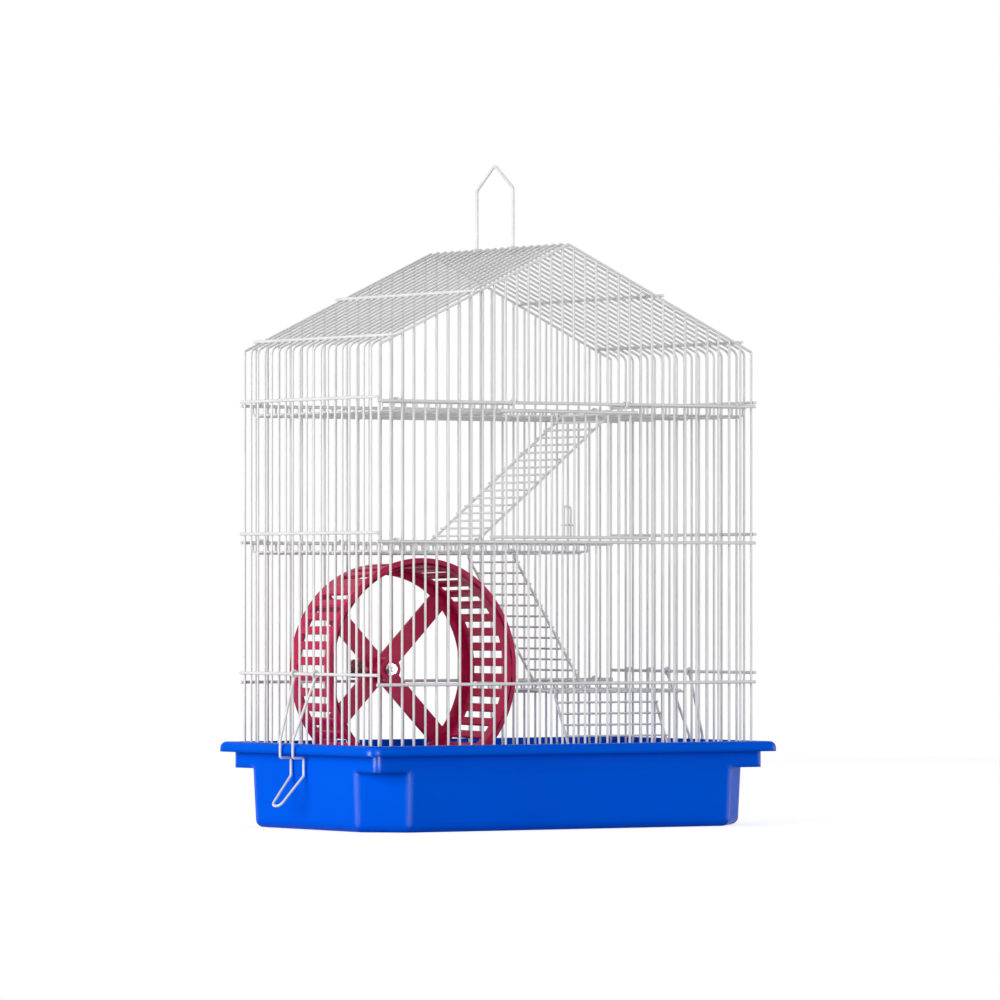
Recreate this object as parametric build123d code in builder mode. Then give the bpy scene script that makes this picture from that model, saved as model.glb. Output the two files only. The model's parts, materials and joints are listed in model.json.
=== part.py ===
from build123d import *
from math import atan2, cos, degrees, pi, radians, sin, tan
import os

# Hamster cage with a gabled wire shell on a moulded tray, in millimetres.
# Origin at the middle of the tray's underside, +Z up, front at -Y, left at -X.

# Wires
pitch = 10.0
front_gaps = 33
side_gaps = 19
wire_r = 0.9
rail_r = 1.2
weld = 0.4
rail_over = 2.5
panel_gap = 0.1
run_gap = 0.15

# Heights of the shell
front_low_z = 108.0
front_mid_z = 212.5
front_top_z = 315.0
side_low_z = 115.0
side_mid_z = 219.0
side_top_z = 318.0
eave_z = 356.0
ridge_z = 433.0
eave_bend = 6.0
gable_edge_r = 1.0
roof_rail_shares = (0.50, 0.935)

# Tray
tray_step_z = 44.0
tray_rim_z = 63.5
tray_wall = 2.4
tray_out = 6.3
tray_chamfer = 29.0
tray_draft = 2.1
tray_foot_fillet = 6.0
tray_edge_fillet = 2.0
shoulder_corner_r = 4.0
lip_out = 16.0
lip_drop = 7.5
lip_wall = 2.4
lip_corner_r = 9.0
lip_round = 5.0

# Door and latch
door_first_column = 10
door_rail_over = 5.0
door_clear = 0.3
door_bottom_rise = 3.5
door_top_drop = 6.0
hinge_eye_x = 50.0
eye_wire_r = 0.85
latch_wire_r = 0.8
latch_half = 3.0
latch_plane_in = 1.0
latch_tip_rise = 2.7
latch_height = 24.0
latch_eye_rise = 10.0
latch_eye_wire_r = 0.7

# Handle
handle_r = 1.2
handle_front_gap = 7
handle_back_gap = 12
handle_leg = 47.0
handle_peak = 18.0
handle_bend = 4.0

# Tray clips
clip_r = 1.0
clip_front_gap = 8
clip_back_gap = 11
clip_lip_half = 9.0
clip_loop_half = 6.0
clip_lip_clear = 1.0
clip_under = 2.8
clip_shoulder_clear = 1.3
clip_rise = 2.5
clip_toe_z = 40.0
clip_loop_z = 18.0
clip_flare = 18.5
clip_bend = 1.6
clip_loop_bend = 5.0

# Floors
floor_wire_r = 0.8
floor_drop = 7.0
floor_side_clear = 3.6
floor_end_clear = 2.0
floor_bend = 2.0
floor_rod_count = 4
floor_rod_over = 1.0
mid_floor_last_gap = 18
mid_hook_gaps = (1, 8)
mid_back_hook_gap = 17
hole_left_gap = 11
hole_right_gap = 20
hole_depth = 73.0
top_hook_gaps = (1, 31)
landing_first_gap = 20
landing_front_y = -8.0
landing_hook_gaps = (21, 31)
landing_side_hook_gaps = (13, 16)

# Ramps
ramp_edge_r = 1.0
ramp_rung_r = 0.8
rung_pitch = 9.0
ramp_bend = 1.5
ramp_gap = 0.25
ramp_knee_drop = 4.0
ramp_tip_drop = 0.5
upper_ramp_front_y = -87.0
upper_ramp_width = 64.0
upper_ramp_foot_x = -82.0
lower_ramp_front_y = 12.0
lower_ramp_width = 64.0
lower_ramp_foot_x = 84.0
short_ramp_left_x = 45.0
short_ramp_width = 90.0
short_ramp_foot_y = -56.0

# Wheel
wheel_column_gap = 10
wheel_z = 117.5
wheel_front_y = 11.0
wheel_rear_y = 73.0
drum_front_r = 80.5
drum_rear_r = 79.0
drum_wall = 2.5
flange_rise = 3.0
flange_t = 4.0
rear_ring_width = 8.0
rear_ring_t = 3.0
slot_count = 42
slot_width = 5.6
slot_margin = 6.0
patch_angle = 128.0
spoke_width = 15.0
spoke_t = 3.0
hub_r = 9.0
hub_length = 17.7
hub_rear_proud = 2.0

# Wheel axle and its clamp on the back wires
axle_r = 2.0
bore_gap = 0.05
nut_flats = 7.0
nut_t = 3.2
washer_r = 4.5
washer_t = 1.0
plate_w = 26.0
plate_h = 14.0
plate_t = 1.5
sleeve_r = 3.6
axle_tip = 1.6
head_t = 2.8
face_gap = 0.05

# Derived places
half_w = front_gaps * pitch / 2
half_d = side_gaps * pitch / 2
rail_step = wire_r + rail_r - weld
side_x = half_w + weld + panel_gap
front_rail_y = half_d + rail_step
side_rail_x = side_x + rail_step
seat_z = tray_step_z + tray_wall
foot_z = seat_z + panel_gap
slope = atan2(ridge_z - eave_z, half_w)
roof_lift = (weld + 2 * panel_gap) / cos(slope)
columns = [-half_w + pitch * i for i in range(front_gaps + 1)]
rows = [-half_d + pitch * i for i in range(1, side_gaps)]
door_columns = columns[door_first_column + 1:front_gaps - door_first_column]
door_half = -columns[door_first_column]
split_x = door_half - pitch / 2


def gable_z(x):
    """Height of the gable's edge above a place across the cage."""
    return ridge_z - abs(x) * tan(slope)


def gap_x(index):
    """Middle of a gap between two wires of the front panel, counted from the left."""
    return -half_w + pitch * (index + 0.5)


def gap_y(index):
    """Middle of a gap between two wires of a side wall, counted from the front."""
    return -half_d + pitch * (index + 0.5)


def rod(start, end, radius):
    """Straight round wire between two points."""
    axis = Vector(*end) - Vector(*start)
    with BuildPart() as piece:
        with BuildSketch(Plane(origin=start, z_dir=axis)):
            Circle(radius)
        extrude(amount=axis.length)
    return piece.part


def bent_wire(points, radius, bend):
    """Round wire along straight runs with rounded corners."""
    with BuildPart() as piece:
        with BuildLine() as path:
            FilletPolyline(*points, radius=bend)
        with BuildSketch(Plane(origin=path.line @ 0, z_dir=path.line % 0)):
            Circle(radius)
        sweep()
    return piece.part


def eye(center, axis, held_r, radius):
    """Wire ring that runs on a rod of radius held_r."""
    with BuildPart() as piece:
        with Locations(Plane(origin=center, z_dir=axis)):
            Torus(held_r + run_gap + radius, radius)
    return piece.part


def welded(name, wires):
    """One welded piece made of wires that cross, saved under its name."""
    with BuildPart() as piece:
        add(wires)
    piece.part.label = name
    save(piece.part)


def save(part):
    """Write a finished piece to its own file."""
    export_step(part, "parts/" + part.label + ".step")


os.makedirs("parts", exist_ok=True)


# Tray: tub with chamfered corners, square shoulder and a rounded, turned-down lip
def tub_outline(inset):
    """Chamfered rectangle of the tub, moved inwards by inset."""
    half_x = half_w + tray_out - inset
    half_y = half_d + tray_out - inset
    cut = tray_chamfer - inset * (2 - 2 ** 0.5)
    corners = Rectangle(2 * half_x, 2 * half_y).vertices()
    chamfer(corners, length=cut)


tub_top = 2 * (half_w + tray_out)
tub_deep = 2 * (half_d + tray_out)
lip_top = 2 * (half_w + lip_out)
lip_deep = 2 * (half_d + lip_out)
with BuildPart() as tray:
    with BuildSketch(Plane.XY):
        tub_outline(tray_draft)
    with BuildSketch(Plane.XY.offset(seat_z)):
        tub_outline(0)
    loft()
    fillet(tray.faces().sort_by(Axis.Z)[0].edges(), tray_foot_fillet)
    with BuildSketch(Plane.XY.offset(tray_step_z)):
        RectangleRounded(tub_top, tub_deep, shoulder_corner_r)
    extrude(amount=tray_rim_z - tray_step_z)
    with BuildSketch(Plane.XY.offset(tray_rim_z - lip_drop)):
        RectangleRounded(lip_top, lip_deep, lip_corner_r)
    extrude(amount=lip_drop)
    fillet(tray.faces().sort_by(Axis.Z)[-1].edges(), lip_round)
    with BuildSketch(Plane.XY.offset(tray_rim_z - lip_drop)):
        RectangleRounded(lip_top - 2 * lip_wall, lip_deep - 2 * lip_wall, lip_corner_r - lip_wall)
        RectangleRounded(tub_top, tub_deep, shoulder_corner_r, mode=Mode.SUBTRACT)
    extrude(amount=lip_drop - lip_wall, mode=Mode.SUBTRACT)
    with BuildSketch(Plane.XY.offset(tray_wall)):
        tub_outline(tray_draft + tray_wall)
    with BuildSketch(Plane.XY.offset(seat_z)):
        tub_outline(tray_wall)
    loft(mode=Mode.SUBTRACT)
    with BuildSketch(Plane.XY.offset(seat_z)):
        RectangleRounded(tub_top - 2 * tray_wall, tub_deep - 2 * tray_wall, tray_edge_fillet)
    extrude(amount=tray_rim_z - seat_z, mode=Mode.SUBTRACT)
tray.part.label = "tray"
save(tray.part)


# Front and back panels
def upright(x, y, bottom, top):
    """One upright wire of a gable panel."""
    return rod((x, y, bottom), (x, y, top), wire_r)


def cross_rail(x_from, x_to, side, z):
    """One level rail outside a gable panel; side is -1 in front and 1 behind."""
    y = side * front_rail_y
    return rod((x_from, y, z), (x_to, y, z), rail_r)


def gable_edge(x_from, x_to, side):
    """Sloped edge wire of a gable panel."""
    y = side * half_d
    return rod((x_from, y, gable_z(x_from)), (x_to, y, gable_z(x_to)), gable_edge_r)


def gable_wing(side, x_from, x_to, wires_at):
    """Full-height part of a gable panel on one side of the ridge."""
    tips = (x_from, x_to)
    outer = max(tips, key=abs)
    over = outer + rail_over * (1 if outer > 0 else -1)
    inner = min(tips, key=abs)
    wires = [upright(x, side * half_d, foot_z, gable_z(x)) for x in wires_at]
    wires += [cross_rail(inner, over, side, z) for z in (front_low_z, front_mid_z, front_top_z)]
    wires.append(cross_rail(inner, outer, side, foot_z + rail_r))
    wires.append(gable_edge(inner, outer, side))
    return wires


welded("front_panel_left", gable_wing(-1, -half_w, -split_x, [x for x in columns if x < -split_x]))
welded("front_panel_right", gable_wing(-1, half_w, split_x, [x for x in columns if x > split_x]))

lower_wires = [upright(x, -half_d, foot_z, front_mid_z + rail_r) for x in door_columns]
lower_wires += [cross_rail(-split_x, split_x, -1, z) for z in (foot_z + rail_r, front_low_z, front_mid_z)]
welded("front_panel_lower", lower_wires)

gable_wires = [upright(x, -half_d, front_top_z - rail_r, gable_z(x)) for x in door_columns]
gable_wires.append(cross_rail(-split_x, split_x, -1, front_top_z))
gable_wires.append(gable_edge(-split_x, 0, -1))
gable_wires.append(gable_edge(split_x, 0, -1))
welded("front_panel_gable", gable_wires)

back_wires = gable_wing(1, -half_w, 0, [x for x in columns if x < 0])
back_wires += gable_wing(1, half_w, 0, [x for x in columns if x > 0])
welded("back_panel", back_wires)


# Side walls and roof slopes; the wires of a slope carry the bend at the eave
eave_turn = pi / 2 - slope
eave_top = eave_z + roof_lift - weld * tan(slope)
eave_tangent = eave_bend * tan(eave_turn / 2)
wall_top_z = eave_top - 2 * eave_tangent
ridge_axis_z = ridge_z + roof_lift


def side_rail(side, z, reach):
    """One level rail outside a side wall; side is -1 on the left and 1 on the right."""
    x = side * side_rail_x
    return rod((x, -reach, z), (x, reach, z), rail_r)


def wall_wires(side):
    """Upright wires and rails of a side wall."""
    x = side * side_x
    wires = [rod((x, y, foot_z), (x, y, wall_top_z), wire_r) for y in rows]
    wires += [side_rail(side, z, half_d + rail_over) for z in (side_low_z, side_mid_z, side_top_z)]
    wires.append(side_rail(side, foot_z + rail_r, rows[-1] + pitch / 2))
    return wires


def slope_point(side, share, lift):
    """Point on a roof slope at a share of the way from ridge to eave, lifted off the wires' axes."""
    x = side * (share * half_w + lift * sin(slope))
    return x, ridge_axis_z - share * half_w * tan(slope) + lift * cos(slope)


def roof_wires(side):
    """Bent wires and the two rails of a roof slope."""
    x = side * side_x
    eave = ridge_axis_z - side_x * tan(slope)
    top = ridge_axis_z
    wires = [bent_wire([(x, y, wall_top_z), (x, y, eave), (0, y, top)], wire_r, eave_bend) for y in rows]
    reach = half_d + rail_over
    for share in roof_rail_shares:
        rail_x, rail_z = slope_point(side, share, rail_step)
        wires.append(rod((rail_x, -reach, rail_z), (rail_x, reach, rail_z), rail_r))
    return wires


def halved(name, wires, side):
    """Weld a roof slope and cut its wires off at the ridge, so that the slopes meet face to face."""
    with BuildPart() as piece:
        add(wires)
        split(bisect_by=Plane.YZ, keep=Keep.TOP if side > 0 else Keep.BOTTOM)
    piece.part.label = name
    save(piece.part)


welded("left_wall", wall_wires(-1))
welded("right_wall", wall_wires(1))
halved("roof_left", roof_wires(-1), -1)
halved("roof_right", roof_wires(1), 1)

# Ridge rail under the slopes, and the handle that swings on it
ridge_rail_z = ridge_axis_z - (wire_r + rail_r + panel_gap) / cos(slope)
ridge_reach = half_d - gable_edge_r - panel_gap
welded("ridge_rail", [rod((0, -ridge_reach, ridge_rail_z), (0, ridge_reach, ridge_rail_z), rail_r)])

handle_front_y = gap_y(handle_front_gap)
handle_back_y = gap_y(handle_back_gap)
handle_mid_y = (handle_front_y + handle_back_y) / 2
handle_start_z = ridge_rail_z + rail_r + run_gap + handle_r
shoulder_z = ridge_rail_z + handle_leg
peak_z = shoulder_z + handle_peak
bail = bent_wire(
    [
        (0, handle_front_y, handle_start_z),
        (0, handle_front_y, shoulder_z),
        (0, handle_mid_y, peak_z),
        (0, handle_back_y, shoulder_z),
        (0, handle_back_y, handle_start_z),
    ],
    handle_r,
    handle_bend,
)
handle_eyes = [eye((0, y, ridge_rail_z), (0, 1, 0), rail_r, handle_r) for y in (handle_front_y, handle_back_y)]
welded("handle", [bail] + handle_eyes)

# Door: hangs on the front panel's top rail and closes against the posts beside it
door_rail_y = -half_d - wire_r - door_clear - rail_r
door_y = door_rail_y + rail_step
door_bottom_z = front_mid_z + door_bottom_rise
door_top_z = front_top_z - door_top_drop
door_wires = [rod((x, door_y, door_bottom_z - wire_r), (x, door_y, door_top_z + wire_r), wire_r) for x in door_columns]
door_reach = door_half + door_rail_over
door_wires.append(rod((-door_reach, door_rail_y, door_bottom_z), (door_reach, door_rail_y, door_bottom_z), rail_r))
door_wires.append(rod((-split_x, door_rail_y, door_top_z), (split_x, door_rail_y, door_top_z), rail_r))
eye_reach = rail_r + run_gap + eye_wire_r
for x in (-hinge_eye_x, hinge_eye_x):
    door_wires.append(eye((x, -front_rail_y, front_top_z), (1, 0, 0), rail_r, eye_wire_r))
    stem_top = (x, -front_rail_y, front_top_z - eye_reach)
    door_wires.append(rod((x, door_rail_y, door_top_z), stem_top, eye_wire_r))

# Latch: hairpin that slides down behind the mid rail, in two eyes on the door
latch_y = -half_d + latch_plane_in
latch_tip_z = front_mid_z + latch_tip_rise
latch_top_z = latch_tip_z + latch_height
latch_eye_z = latch_tip_z + latch_eye_rise
for x in (-latch_half, latch_half):
    door_wires.append(eye((x, latch_y, latch_eye_z), (0, 0, 1), latch_wire_r, latch_eye_wire_r))
welded("door", door_wires)
hairpin = bent_wire(
    [
        (-latch_half, latch_y, latch_tip_z),
        (-latch_half, latch_y, latch_top_z),
        (latch_half, latch_y, latch_top_z),
        (latch_half, latch_y, latch_tip_z),
    ],
    latch_wire_r,
    latch_half * 0.95,
)
welded("door_latch", [hairpin])

# Tray clips: hairpins that hang on the side walls' low rails and reach under the lip
clip_front_y = gap_y(clip_front_gap)
clip_back_y = gap_y(clip_back_gap)
clip_mid_y = (clip_front_y + clip_back_y) / 2
lip_x = half_w + lip_out
clip_lip_x = lip_x + clip_lip_clear + clip_r
clip_under_z = tray_rim_z - lip_drop - clip_under
clip_shoulder_x = half_w + tray_out + clip_shoulder_clear + clip_r
clip_eye_drop = rail_r + run_gap + clip_r
clip_loop_x = clip_shoulder_x + clip_flare


def clip_strand(side, y_top, y_lip, y_loop):
    """Points of one strand of a clip, from its eye down to the finger loop."""
    return [
        (side * side_rail_x, y_top, side_low_z - clip_eye_drop),
        (side * clip_lip_x, y_lip, tray_rim_z + clip_rise),
        (side * clip_lip_x, y_lip, clip_under_z),
        (side * clip_shoulder_x, y_lip, clip_under_z),
        (side * clip_shoulder_x, y_lip, clip_toe_z),
        (side * clip_loop_x, y_loop, clip_loop_z),
    ]


def clip_wires(side):
    """Hairpin and eyes of one tray clip."""
    front = clip_strand(side, clip_front_y, clip_mid_y - clip_lip_half, clip_mid_y - clip_loop_half)
    back = clip_strand(side, clip_back_y, clip_mid_y + clip_lip_half, clip_mid_y + clip_loop_half)
    bends = [clip_bend, clip_bend, clip_bend, clip_bend, clip_loop_bend]
    hairpin = bent_wire(front + back[::-1], clip_r, bends + bends[::-1])
    eyes = [eye((side * side_rail_x, y, side_low_z), (0, 1, 0), rail_r, clip_r) for y in (clip_front_y, clip_back_y)]
    return [hairpin] + eyes


welded("clip_left", clip_wires(-1))
welded("clip_right", clip_wires(1))


# Floors: wires along the depth with turned-up ends, hung by hooks on the rails
floor_y = half_d - floor_side_clear
floor_x = half_w - floor_end_clear
rod_drop = 2 * floor_wire_r - weld
rim_rise = floor_drop - floor_wire_r
mid_floor_z = front_mid_z - floor_drop
top_floor_z = front_top_z - floor_drop
landing_z = front_low_z - floor_drop


def floor_end(x, side, z, rail_z, hooked):
    """Points of a floor wire's turned-up end, which goes on over the panel's rail where hooked is true."""
    inner = side * floor_y
    if not hooked:
        return [(x, inner, z), (x, inner, z + floor_drop)]
    outer = side * (front_rail_y + rail_r + panel_gap + floor_wire_r)
    over = rail_z + rail_r + panel_gap + floor_wire_r
    return [(x, inner, z), (x, inner, over), (x, outer, over), (x, outer, rail_z)]


def floor_wire(x, z, rail_z, front_hook=False, back_hook=False):
    """One wire of a floor, turned up at both ends."""
    front = floor_end(x, -1, z, rail_z, front_hook)
    back = floor_end(x, 1, z, rail_z, back_hook)
    return bent_wire(front[::-1] + back, floor_wire_r, floor_bend)


def short_floor_wire(x, front_y, z, rail_z, back_hook=False):
    """One wire of a floor that stops short at front_y."""
    back = floor_end(x, 1, z, rail_z, back_hook)
    return bent_wire([(x, front_y, z)] + back, floor_wire_r, floor_bend)


def floor_rod(x_from, x_to, y, z):
    """One rod across the floor's wires."""
    return rod((x_from, y, z), (x_to, y, z), floor_wire_r)


mid_right_x = gap_x(mid_floor_last_gap)
mid_wires = []
for gap in range(mid_floor_last_gap + 1):
    both = gap in mid_hook_gaps
    behind = both or gap == mid_back_hook_gap
    mid_wires.append(floor_wire(gap_x(gap), mid_floor_z, front_mid_z, both, behind))
rod_first_y = -floor_y + pitch
rod_step_y = -2 * rod_first_y / (floor_rod_count - 1)
for i in range(floor_rod_count):
    mid_wires.append(floor_rod(-floor_x, mid_right_x, rod_first_y + rod_step_y * i, mid_floor_z - rod_drop))
for side in (-1, 1):
    mid_wires.append(floor_rod(-floor_x, mid_right_x, side * (floor_y - rod_drop), mid_floor_z + rim_rise))
welded("mid_floor", mid_wires)

# Top floor in three flat parts, so that the hole between them stays open
hole_left_x = gap_x(hole_left_gap)
hole_right_x = gap_x(hole_right_gap)
hole_back_y = -floor_y + hole_depth
top_rod_z = top_floor_z - rod_drop
top_rim_z = top_floor_z + rim_rise
rim_y = floor_y - rod_drop
back_rods = [(y, top_rod_z) for y in (hole_back_y + pitch / 2, half_d / 3, -rod_first_y)] + [(rim_y, top_rim_z)]
front_rods = [(rod_first_y, top_rod_z), ((hole_back_y - floor_y) / 2, top_rod_z), (-rim_y, top_rim_z)]


def top_floor_side(first_gap, last_gap, x_from, x_to):
    """Wires and rods of the top floor beside the hole."""
    wires = []
    for gap in range(first_gap, last_gap + 1):
        hooked = gap in top_hook_gaps
        wires.append(floor_wire(gap_x(gap), top_floor_z, front_top_z, hooked, hooked))
    return wires + [floor_rod(x_from, x_to, y, z) for y, z in front_rods + back_rods]


left_end_x = hole_left_x + floor_rod_over
right_end_x = hole_right_x - floor_rod_over
welded("top_floor_left", top_floor_side(0, hole_left_gap, -floor_x, left_end_x))
welded("top_floor_right", top_floor_side(hole_right_gap, front_gaps - 1, right_end_x, floor_x))
middle_wires = [floor_rod(left_end_x, right_end_x, y, z) for y, z in back_rods]
for gap in range(hole_left_gap + 1, hole_right_gap):
    middle_wires.append(short_floor_wire(gap_x(gap), hole_back_y, top_floor_z, front_top_z))
welded("top_floor_middle", middle_wires)

landing_left_x = gap_x(landing_first_gap)
landing_rod_z = landing_z - rod_drop
landing_border_y = landing_front_y + floor_wire_r
landing_wires = []
for gap in range(landing_first_gap, front_gaps):
    behind = gap in landing_hook_gaps
    landing_wires.append(short_floor_wire(gap_x(gap), landing_front_y, landing_z, front_low_z, behind))
landing_wires.append(floor_rod(landing_left_x, floor_x, landing_border_y, landing_rod_z))
landing_wires.append(floor_rod(landing_left_x, floor_x, rim_y, landing_z + rim_rise))
side_hook_x = side_rail_x + rail_r + panel_gap + floor_wire_r
side_hook_z = side_low_z + rail_r + panel_gap + floor_wire_r
for gap in landing_side_hook_gaps:
    y = gap_y(gap)
    side_hook = [
        (landing_left_x, y, landing_rod_z),
        (floor_x, y, landing_rod_z),
        (floor_x, y, side_hook_z),
        (side_hook_x, y, side_hook_z),
        (side_hook_x, y, side_low_z),
    ]
    landing_wires.append(bent_wire(side_hook, floor_wire_r, floor_bend))
welded("landing", landing_wires)


# Ramps: two edge wires with rungs on top, hooked over a floor's bar and leaning on the next floor
def ladder(bar, foot, across, outward):
    """Wires of a ramp.

    bar is where the first edge wire hooks over, foot is that wire's lower end, across leads to the
    other edge wire, and outward is the level direction from the foot past the bar.
    """
    bar = Vector(*bar)
    foot = Vector(*foot)
    across = Vector(*across)
    reach = floor_wire_r + ramp_gap + ramp_edge_r
    near = bar - Vector(*outward) * reach
    far = bar + Vector(*outward) * reach
    knee = near - Vector(0, 0, ramp_knee_drop)
    crook = [near + Vector(0, 0, reach), far + Vector(0, 0, reach), far - Vector(0, 0, ramp_tip_drop)]
    edge = [foot, knee] + crook
    wires = [bent_wire(edge, ramp_edge_r, ramp_bend)]
    wires.append(bent_wire([point + across for point in edge], ramp_edge_r, ramp_bend))
    run = knee - foot
    normal = across.cross(run).normalized()
    lift = normal * (ramp_edge_r + ramp_rung_r - weld) * (1 if normal.Z > 0 else -1)
    over = across.normalized() * ramp_edge_r
    count = int(run.length // rung_pitch)
    for i in range(count):
        spot = foot + run * ((i + 0.5) / count) + lift
        wires.append(rod(spot - over, spot + across + over, ramp_rung_r))
    return wires


stand = floor_wire_r + ramp_gap + ramp_edge_r
welded("upper_ramp", ladder(
    (hole_right_x, upper_ramp_front_y, top_floor_z),
    (upper_ramp_foot_x, upper_ramp_front_y, mid_floor_z + stand),
    (0, upper_ramp_width, 0),
    (1, 0, 0),
))
welded("lower_ramp", ladder(
    (mid_right_x, lower_ramp_front_y, mid_floor_z),
    (lower_ramp_foot_x, lower_ramp_front_y, landing_z + stand),
    (0, lower_ramp_width, 0),
    (-1, 0, 0),
))
welded("short_ramp", ladder(
    (short_ramp_left_x, landing_border_y, landing_rod_z),
    (short_ramp_left_x, short_ramp_foot_y, tray_wall + ramp_gap + ramp_edge_r),
    (short_ramp_width, 0, 0),
    (0, 1, 0),
))

# Wheel: slotted drum with an open front, and a four-spoke spider in its rear ring
wheel_x = columns[wheel_column_gap] + pitch / 2
wheel_axis = Axis((wheel_x, 0, wheel_z), (0, 1, 0))
flange_r = drum_front_r + flange_rise
rear_ring_in_r = drum_rear_r - rear_ring_width
with BuildPart() as wheel_drum:
    with BuildSketch(Plane(origin=(wheel_x, 0, wheel_z))):
        with BuildLine():
            Polyline(
                (drum_front_r - drum_wall, wheel_front_y),
                (flange_r, wheel_front_y),
                (flange_r, wheel_front_y + flange_t),
                (drum_front_r, wheel_front_y + flange_t),
                (drum_rear_r, wheel_rear_y),
                (rear_ring_in_r, wheel_rear_y),
                (rear_ring_in_r, wheel_rear_y - rear_ring_t),
                (drum_rear_r - drum_wall, wheel_rear_y - rear_ring_t),
                close=True,
            )
        make_face()
    revolve(axis=wheel_axis)
    slot_start = wheel_front_y + flange_t + slot_margin
    slot_end = wheel_rear_y - rear_ring_t - slot_margin
    slot_step = 360 / slot_count
    with Locations(Plane(origin=(wheel_x, (slot_start + slot_end) / 2, wheel_z), x_dir=(1, 0, 0), z_dir=(0, -1, 0))):
        with PolarLocations(drum_rear_r, slot_count - 1, patch_angle + slot_step, 360 - slot_step):
            Box(4 * drum_wall, slot_width, slot_end - slot_start, mode=Mode.SUBTRACT)
wheel_drum.part.label = "wheel_drum"
save(wheel_drum.part)

hub_rear_y = wheel_rear_y + hub_rear_proud
hub_front_y = hub_rear_y - hub_length
with BuildPart() as wheel_spokes:
    with BuildSketch(Plane(origin=(wheel_x, wheel_rear_y, wheel_z), x_dir=(1, 0, 0), z_dir=(0, -1, 0))):
        with Locations(Rotation(0, 0, 45), Rotation(0, 0, 135)):
            Rectangle(2 * rear_ring_in_r, spoke_width)
        Circle(rear_ring_in_r - face_gap, mode=Mode.INTERSECT)
    extrude(amount=spoke_t)
    with BuildSketch(Plane(origin=(wheel_x, hub_rear_y, wheel_z), x_dir=(1, 0, 0), z_dir=(0, -1, 0))):
        Circle(hub_r)
    extrude(amount=hub_length)
    with BuildSketch(Plane(origin=(wheel_x, hub_rear_y, wheel_z), x_dir=(1, 0, 0), z_dir=(0, -1, 0))):
        Circle(axle_r + bore_gap)
    extrude(amount=hub_length, mode=Mode.SUBTRACT)
wheel_spokes.part.label = "wheel_spokes"
save(wheel_spokes.part)


# Axle: bolt through the back wires, clamped between two plates
def along_axle(y):
    """Sketch plane across the axle that faces the front."""
    return Plane(origin=(wheel_x, y, wheel_z), x_dir=(1, 0, 0), z_dir=(0, -1, 0))


def axle_piece(name, y_from, y_to, draw):
    """Piece threaded on the axle, drawn by draw, with a clear bore."""
    with BuildPart() as piece:
        with BuildSketch(along_axle(y_to)):
            draw()
            Circle(axle_r + bore_gap, mode=Mode.SUBTRACT)
        extrude(amount=y_to - y_from)
    piece.part.label = name
    save(piece.part)


def hexagon():
    """Outline of a nut."""
    RegularPolygon(nut_flats / 2, 6, major_radius=False)


def plate():
    """Outline of a clamp plate."""
    RectangleRounded(plate_w, plate_h, tray_edge_fillet)


inner_plate_y = half_d - wire_r - face_gap - plate_t
outer_plate_y = half_d + wire_r + face_gap
plate_nut_y = inner_plate_y - face_gap - nut_t
head_y = outer_plate_y + plate_t + face_gap
washer_y = hub_front_y - run_gap - washer_t
axle_nut_y = washer_y - face_gap - nut_t
axle_piece("axle_plate_inner", inner_plate_y, inner_plate_y + plate_t, plate)
axle_piece("axle_plate_outer", outer_plate_y, outer_plate_y + plate_t, plate)
axle_piece("axle_plate_nut", plate_nut_y, plate_nut_y + nut_t, hexagon)
axle_piece("axle_sleeve", hub_rear_y + run_gap, plate_nut_y - face_gap, lambda: Circle(sleeve_r))
axle_piece("axle_washer", washer_y, washer_y + washer_t, lambda: Circle(washer_r))
axle_piece("axle_nut", axle_nut_y, axle_nut_y + nut_t, hexagon)
with BuildPart() as axle:
    with BuildSketch(along_axle(head_y + head_t)):
        hexagon()
    extrude(amount=head_t)
    with BuildSketch(along_axle(head_y)):
        Circle(axle_r)
    extrude(amount=head_y - axle_nut_y + axle_tip)
axle.part.label = "axle"
save(axle.part)
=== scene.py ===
"""Looks of the hamster cage: finishes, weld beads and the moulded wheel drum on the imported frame."""
import json
import logging
import math
from dataclasses import dataclass
from enum import Enum

import bmesh
import bpy
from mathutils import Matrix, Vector


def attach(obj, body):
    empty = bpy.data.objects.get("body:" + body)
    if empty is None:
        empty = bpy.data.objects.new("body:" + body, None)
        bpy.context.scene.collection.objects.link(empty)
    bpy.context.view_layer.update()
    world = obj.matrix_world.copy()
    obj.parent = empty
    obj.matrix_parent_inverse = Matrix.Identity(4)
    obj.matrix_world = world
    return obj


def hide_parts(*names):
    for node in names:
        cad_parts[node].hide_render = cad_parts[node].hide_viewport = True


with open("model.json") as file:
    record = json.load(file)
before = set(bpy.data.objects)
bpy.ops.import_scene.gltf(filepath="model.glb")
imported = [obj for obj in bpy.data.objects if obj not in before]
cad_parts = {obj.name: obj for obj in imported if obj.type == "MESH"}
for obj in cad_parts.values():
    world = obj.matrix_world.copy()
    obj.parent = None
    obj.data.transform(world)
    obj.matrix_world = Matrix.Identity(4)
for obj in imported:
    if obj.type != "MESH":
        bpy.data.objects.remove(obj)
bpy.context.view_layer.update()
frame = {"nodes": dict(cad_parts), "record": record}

MM = 0.001
Triple = tuple[float, float, float]
log = logging.getLogger("cage")


class Body(str, Enum):
    """Rigid bodies of the frame that pieces ride on."""

    CAGE = "cage"
    WHEEL = "wheel"
    DOOR = "door"
    UPPER_RAMP = "upper_ramp"
    LOWER_RAMP = "lower_ramp"
    SHORT_RAMP = "short_ramp"


class Slot(str, Enum):
    """Material slots of the record."""

    TRAY = "tray_blue"
    WIRE = "wire_white"
    WHEEL = "wheel_red"
    STEEL = "bolt_steel"


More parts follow.
